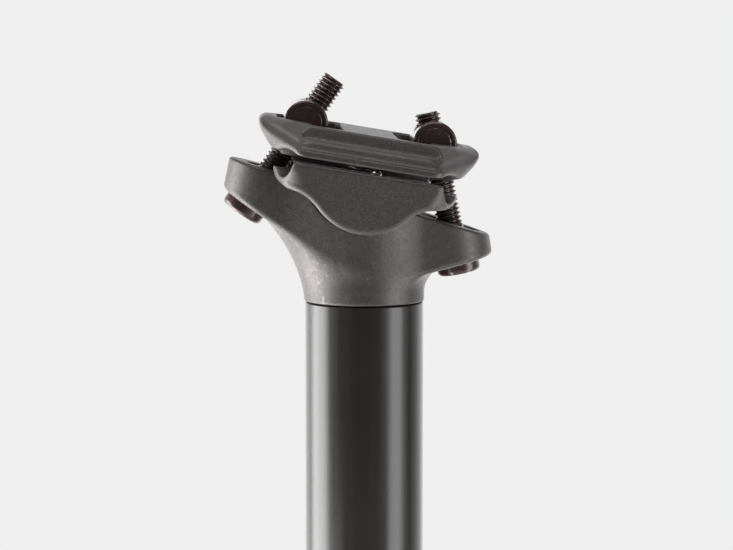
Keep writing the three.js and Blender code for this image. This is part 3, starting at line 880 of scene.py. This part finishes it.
SPRING_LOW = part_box("main_spring")[0].z / MM
SPRING_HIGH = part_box("main_spring")[1].z / MM
shape = coil(low=SPRING_LOW, high=SPRING_HIGH, **MAIN_COIL)
main_coil = build("main_coil", shape, WORLD, MATERIAL["spring_steel"])
finish_piece(main_coil, "spring_seat", "spring_steel", "main_spring")
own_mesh(main_coil)

# ---- sliding tube and post -------------------------------------------------


def stanchion():
    top = in_frame((0, 0, JUNCTION_Z), WORLD).z - 0.25
    profile = fillet(
        [(STANCHION_BORE_R, 300), (STANCHION_BORE_R, 165), (13, 165), (13, 184.3), (STANCHION_R, 184.3),
         (STANCHION_R, 207.8), (12.9, 207.8), (12.9, 212.2), (STANCHION_R, 212.2), (STANCHION_R, top),
         (STANCHION_BORE_R, top), (STANCHION_BORE_R, 300)],
        (0.2, 0.2, 0, 0.1, 0.1, 0, 0, 0.1, 0.35, 0.3), 4,
    )[:-1]
    return revolve(profile, 160)


def grooved(turns, plain, deep, centres, half_width):
    """Radius at each angle: deep within half_width of a centre, plain elsewhere."""
    r = np.full(len(turns), float(plain))
    for centre in centres:
        offset = (turns - math.radians(centre) + math.pi) % (2 * math.pi) - math.pi
        r[np.abs(offset) * plain < half_width] = deep
    return r


def post():
    """The outer tube, with key grooves down its bore and a groove for the retaining ring."""
    turns = angles(240)
    bore = grooved(turns, POST_BORE_R, KEY_GROOVE_R, KEY_ANGLES, 1.9)
    corners = [(POST_BORE_R, 0), (POST_R, 0), (POST_R, POST_LENGTH), (KEY_GROOVE_R + 0.2, POST_LENGTH)]
    outside = fillet(corners, (0.6, 0.2), 5)
    inside = [(bore, POST_LENGTH), (bore, 104), (POST_BORE_R, 104), (POST_BORE_R, 3.4), (15, 3.4), (15, 1.8),
              (POST_BORE_R, 1.8), (POST_BORE_R, 0.4)]
    return stack(turns, outside + inside, True)


def collar():
    """The threaded cap: six spanner notches low down, two turned lines, a sloped shoulder."""
    turns = angles(360)
    notch = grooved(turns, COLLAR_R, COLLAR_R - 1, range(0, 360, 60), 2)
    lower, upper = COLLAR_LOW + 3, COLLAR_LOW + 12
    rim = [(COLLAR_R - 0.9, COLLAR_LOW), (COLLAR_R - 0.45, COLLAR_LOW + 0.12),
           (COLLAR_R - 0.12, COLLAR_LOW + 0.45), (COLLAR_R, COLLAR_LOW + 0.9)]
    outside = rim + [(COLLAR_R, lower), (notch, lower), (notch, upper), (COLLAR_R, upper)]
    for z in (242.4, 244.4):
        outside += [(COLLAR_R, z - 0.3), (COLLAR_R - 0.25, z - 0.1)]
        outside += [(COLLAR_R - 0.25, z + 0.1), (COLLAR_R, z + 0.3)]
    shoulder = fillet([(COLLAR_R, COLLAR_TOP - 5), (COLLAR_R, COLLAR_TOP - 3), (COLLAR_R - 1.8, COLLAR_TOP),
                       (STANCHION_R + 0.8, COLLAR_TOP), (STANCHION_R + 0.8, COLLAR_TOP - 1.7)],
                      (0.8, 0.5, 0.3), 5)
    seal_top = COLLAR_TOP - 1.7
    inside = [(POST_R + 0.6, seal_top), (POST_R + 0.6, POST_LENGTH + 0.2), (POST_R + 0.15, POST_LENGTH + 0.2),
              (POST_R + 0.15, COLLAR_LOW)]
    return stack(turns, outside + shoulder + inside, True)


def wiper():
    low, high = POST_LENGTH + 0.3, COLLAR_TOP - 2
    lip = STANCHION_R + 0.1
    profile = fillet([(lip + 1.2, low + 1), (lip + 0.9, low), (POST_R + 0.3, low), (POST_R + 0.3, high),
                      (lip, high), (lip, high - 1), (lip + 1.2, low + 1)], (0.3, 0.2, 0.2, 0.15, 0.2), 4)[:-1]
    return revolve(profile, 120)


def foot_plug():
    """The threaded plug in the post's lower end, with a hexagon socket."""
    turns = angles(120)
    low, r = 3.6, POST_BORE_R - 0.15
    socket = hexagon(turns, HEX_KEY)
    inside = [(0.6, low + 6.3), (1.6, low + 6.1), (socket * 0.985, low + 5.6), (socket, low + 0.5),
              (socket * 1.06, low)]
    outside = fillet([(4, low), (r, low), (r, low + 10), (0.6, low + 10)], (0.8, 0.3), 5)
    return stack(turns, inside + outside)


def snap_ring():
    """The split retaining ring: a rectangular section swept round a broken circle."""
    half_gap = math.asin(3 / 13.5)
    spread = np.linspace(half_gap, 2 * math.pi - half_gap, 120)
    section = fillet([(13.6, 2.1), (14.8, 2.1), (14.8, 3.1), (12.4, 3.1), (12.4, 2.1), (13.6, 2.1)],
                     (0.15, 0.15, 0.15, 0.15), 2)[:-1]
    n = len(section)
    verts = [(r * math.cos(a), r * math.sin(a), z) for a in spread for r, z in section]
    faces = [[i * n + k, i * n + (k + 1) % n, (i + 1) * n + (k + 1) % n, (i + 1) * n + k]
             for i in range(len(spread) - 1) for k in range(n)]
    faces += [list(range(n))[::-1], [len(verts) - n + k for k in range(n)]]
    return np.array(verts), faces


for name, shape, finish, body, node in (
    ("sliding_tube", stanchion(), "gloss_anodised", "slider", "stanchion_tube"),
    ("outer_post", post(), "satin_anodised", "post", "post_tube"),
    ("threaded_collar", collar(), "satin_anodised", "post", "collar"),
    ("wiper_lip", wiper(), "rubber", "post", "wiper_seal"),
    ("end_plug", foot_plug(), "satin_anodised", "preload_plug", "preload_plug"),
    ("snap_ring", snap_ring(), "spring_steel", "post", "retaining_ring"),
):
    piece = build(name, shape, WORLD, MATERIAL[finish], 35)
    finish_piece(piece, body, finish, node)

for row in frame["record"]["subparts"]:
    node = frame["nodes"][row["node"]]
    node.data.materials.clear()
    node.data.materials.append(MATERIAL[row["material_slot"]])

# ---- studio ----------------------------------------------------------------

PALE = 0.8632
CAMERA_DISTANCE = 0.672
CAMERA_AZIMUTH = math.radians(-2.5)
CAMERA_ELEVATION = math.radians(5.7)
AIM = Vector((0.00053, 0, JUNCTION_Z + 0.0058))


def look_at(obj, target):
    obj.rotation_euler = (Vector(target) - obj.location).to_track_quat("-Z", "Y").to_euler()


def camera():
    data = bpy.data.cameras.new("camera")
    data.sensor_width = 36
    data.lens = 143.8
    data.clip_end = 500
    obj = bpy.data.objects.new("camera", data)
    bpy.context.scene.collection.objects.link(obj)
    flat = math.cos(CAMERA_ELEVATION)
    back = Vector(
        (math.sin(CAMERA_AZIMUTH) * flat, -math.cos(CAMERA_AZIMUTH) * flat, math.sin(CAMERA_ELEVATION))
    )
    obj.location = AIM + back * CAMERA_DISTANCE
    look_at(obj, AIM)
    bpy.context.scene.camera = obj


def soft_box(name, angle, height, distance, size, power, lit):
    """A rectangular light; angle is measured from the front towards +X, in degrees."""
    data = bpy.data.lights.new(name, "AREA")
    data.shape = "RECTANGLE"
    data.size, data.size_y = size
    data.energy = power
    obj = bpy.data.objects.new(name, data)
    bpy.context.scene.collection.objects.link(obj)
    a = math.radians(angle)
    obj.location = AIM + Vector((math.sin(a) * distance, -math.cos(a) * distance, height))
    look_at(obj, AIM + Vector((0, 0, 0.01)))
    obj.light_linking.receiver_collection = lit


def lights():
    lit = bpy.data.collections.new("lit")
    for obj in bpy.context.scene.objects:
        if obj.type == "MESH" and not obj.get("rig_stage"):
            lit.objects.link(obj)
    soft_box("left_box", -100, -0.12, 0.7, (0.54, 0.9), 11, lit)
    soft_box("low_left_box", -80, -0.42, 0.5, (0.7, 0.5), 3.2, lit)
    soft_box("right_box", 61, -0.1, 0.8, (0.42, 0.9), 4.6, lit)
    soft_box("top_box", -20, 0.9, 0.25, (0.9, 0.6), 4, lit)


def surroundings():
    """A pale backdrop for the camera; for light, bright behind and below and dim in front and overhead."""
    world = bpy.data.worlds.new("studio")
    bpy.context.scene.world = world
    world.use_nodes = True
    tree = world.node_tree
    tree.nodes.clear()
    new, link = tree.nodes.new, tree.links.new
    split = new("ShaderNodeSeparateXYZ")
    link(new("ShaderNodeTexCoord").outputs["Generated"], split.inputs[0])

    def level(axis, low, high, start, end):
        made = new("ShaderNodeMapRange")
        made.interpolation_type = "SMOOTHSTEP"
        for socket, value in zip(("From Min", "From Max", "To Min", "To Max"), (low, high, start, end)):
            made.inputs[socket].default_value = value
        link(split.outputs[axis], made.inputs["Value"])
        return made.outputs[0]

    strength = new("ShaderNodeMath")
    strength.operation = "MULTIPLY_ADD"
    for i, value in enumerate((level("Y", 0.1, 1, 0.12, 2.4), level("Z", 0, 0.4, 1, 0.5),
                               level("Z", -0.6, -0.15, 1, 0))):
        link(value, strength.inputs[i])
    glow, seen, both = new("ShaderNodeBackground"), new("ShaderNodeBackground"), new("ShaderNodeMixShader")
    link(strength.outputs[0], glow.inputs["Strength"])
    seen.inputs["Color"].default_value = (PALE, PALE, PALE, 1)
    link(new("ShaderNodeLightPath").outputs["Is Camera Ray"], both.inputs[0])
    link(glow.outputs[0], both.inputs[1])
    link(seen.outputs[0], both.inputs[2])
    link(both.outputs[0], new("ShaderNodeOutputWorld").inputs["Surface"])


def floor():
    """A wide pale floor that glows evenly, so that it runs into the backdrop, and doesn't light the post."""
    radius = 120
    ring = [(radius * math.cos(a), radius * math.sin(a), 0) for a in angles(96)]
    mesh = bpy.data.meshes.new("floor")
    mesh.from_pydata(ring, [], [list(range(len(ring)))])
    obj = bpy.data.objects.new("floor", mesh)
    bpy.context.scene.collection.objects.link(obj)
    obj.location.z = cad_bounds[0][2] - 0.0005
    s = Shader("floor", Roughness=0.9, Specular_IOR_Level=0.0,
               Emission_Color=(1, 1, 1, 1), Emission_Strength=0.82)
    speck = s.noise(300, 2)
    s.link(s.mix(speck, grey(0.19), grey(0.21)), "Base Color")
    mesh.materials.append(s.material)
    obj.visible_diffuse = False
    obj.visible_glossy = False
    obj.visible_shadow = False
    obj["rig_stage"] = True


camera()
surroundings()
lights()
floor()
bpy.context.scene.view_settings.view_transform = "Standard"

bpy.context.view_layer.update()
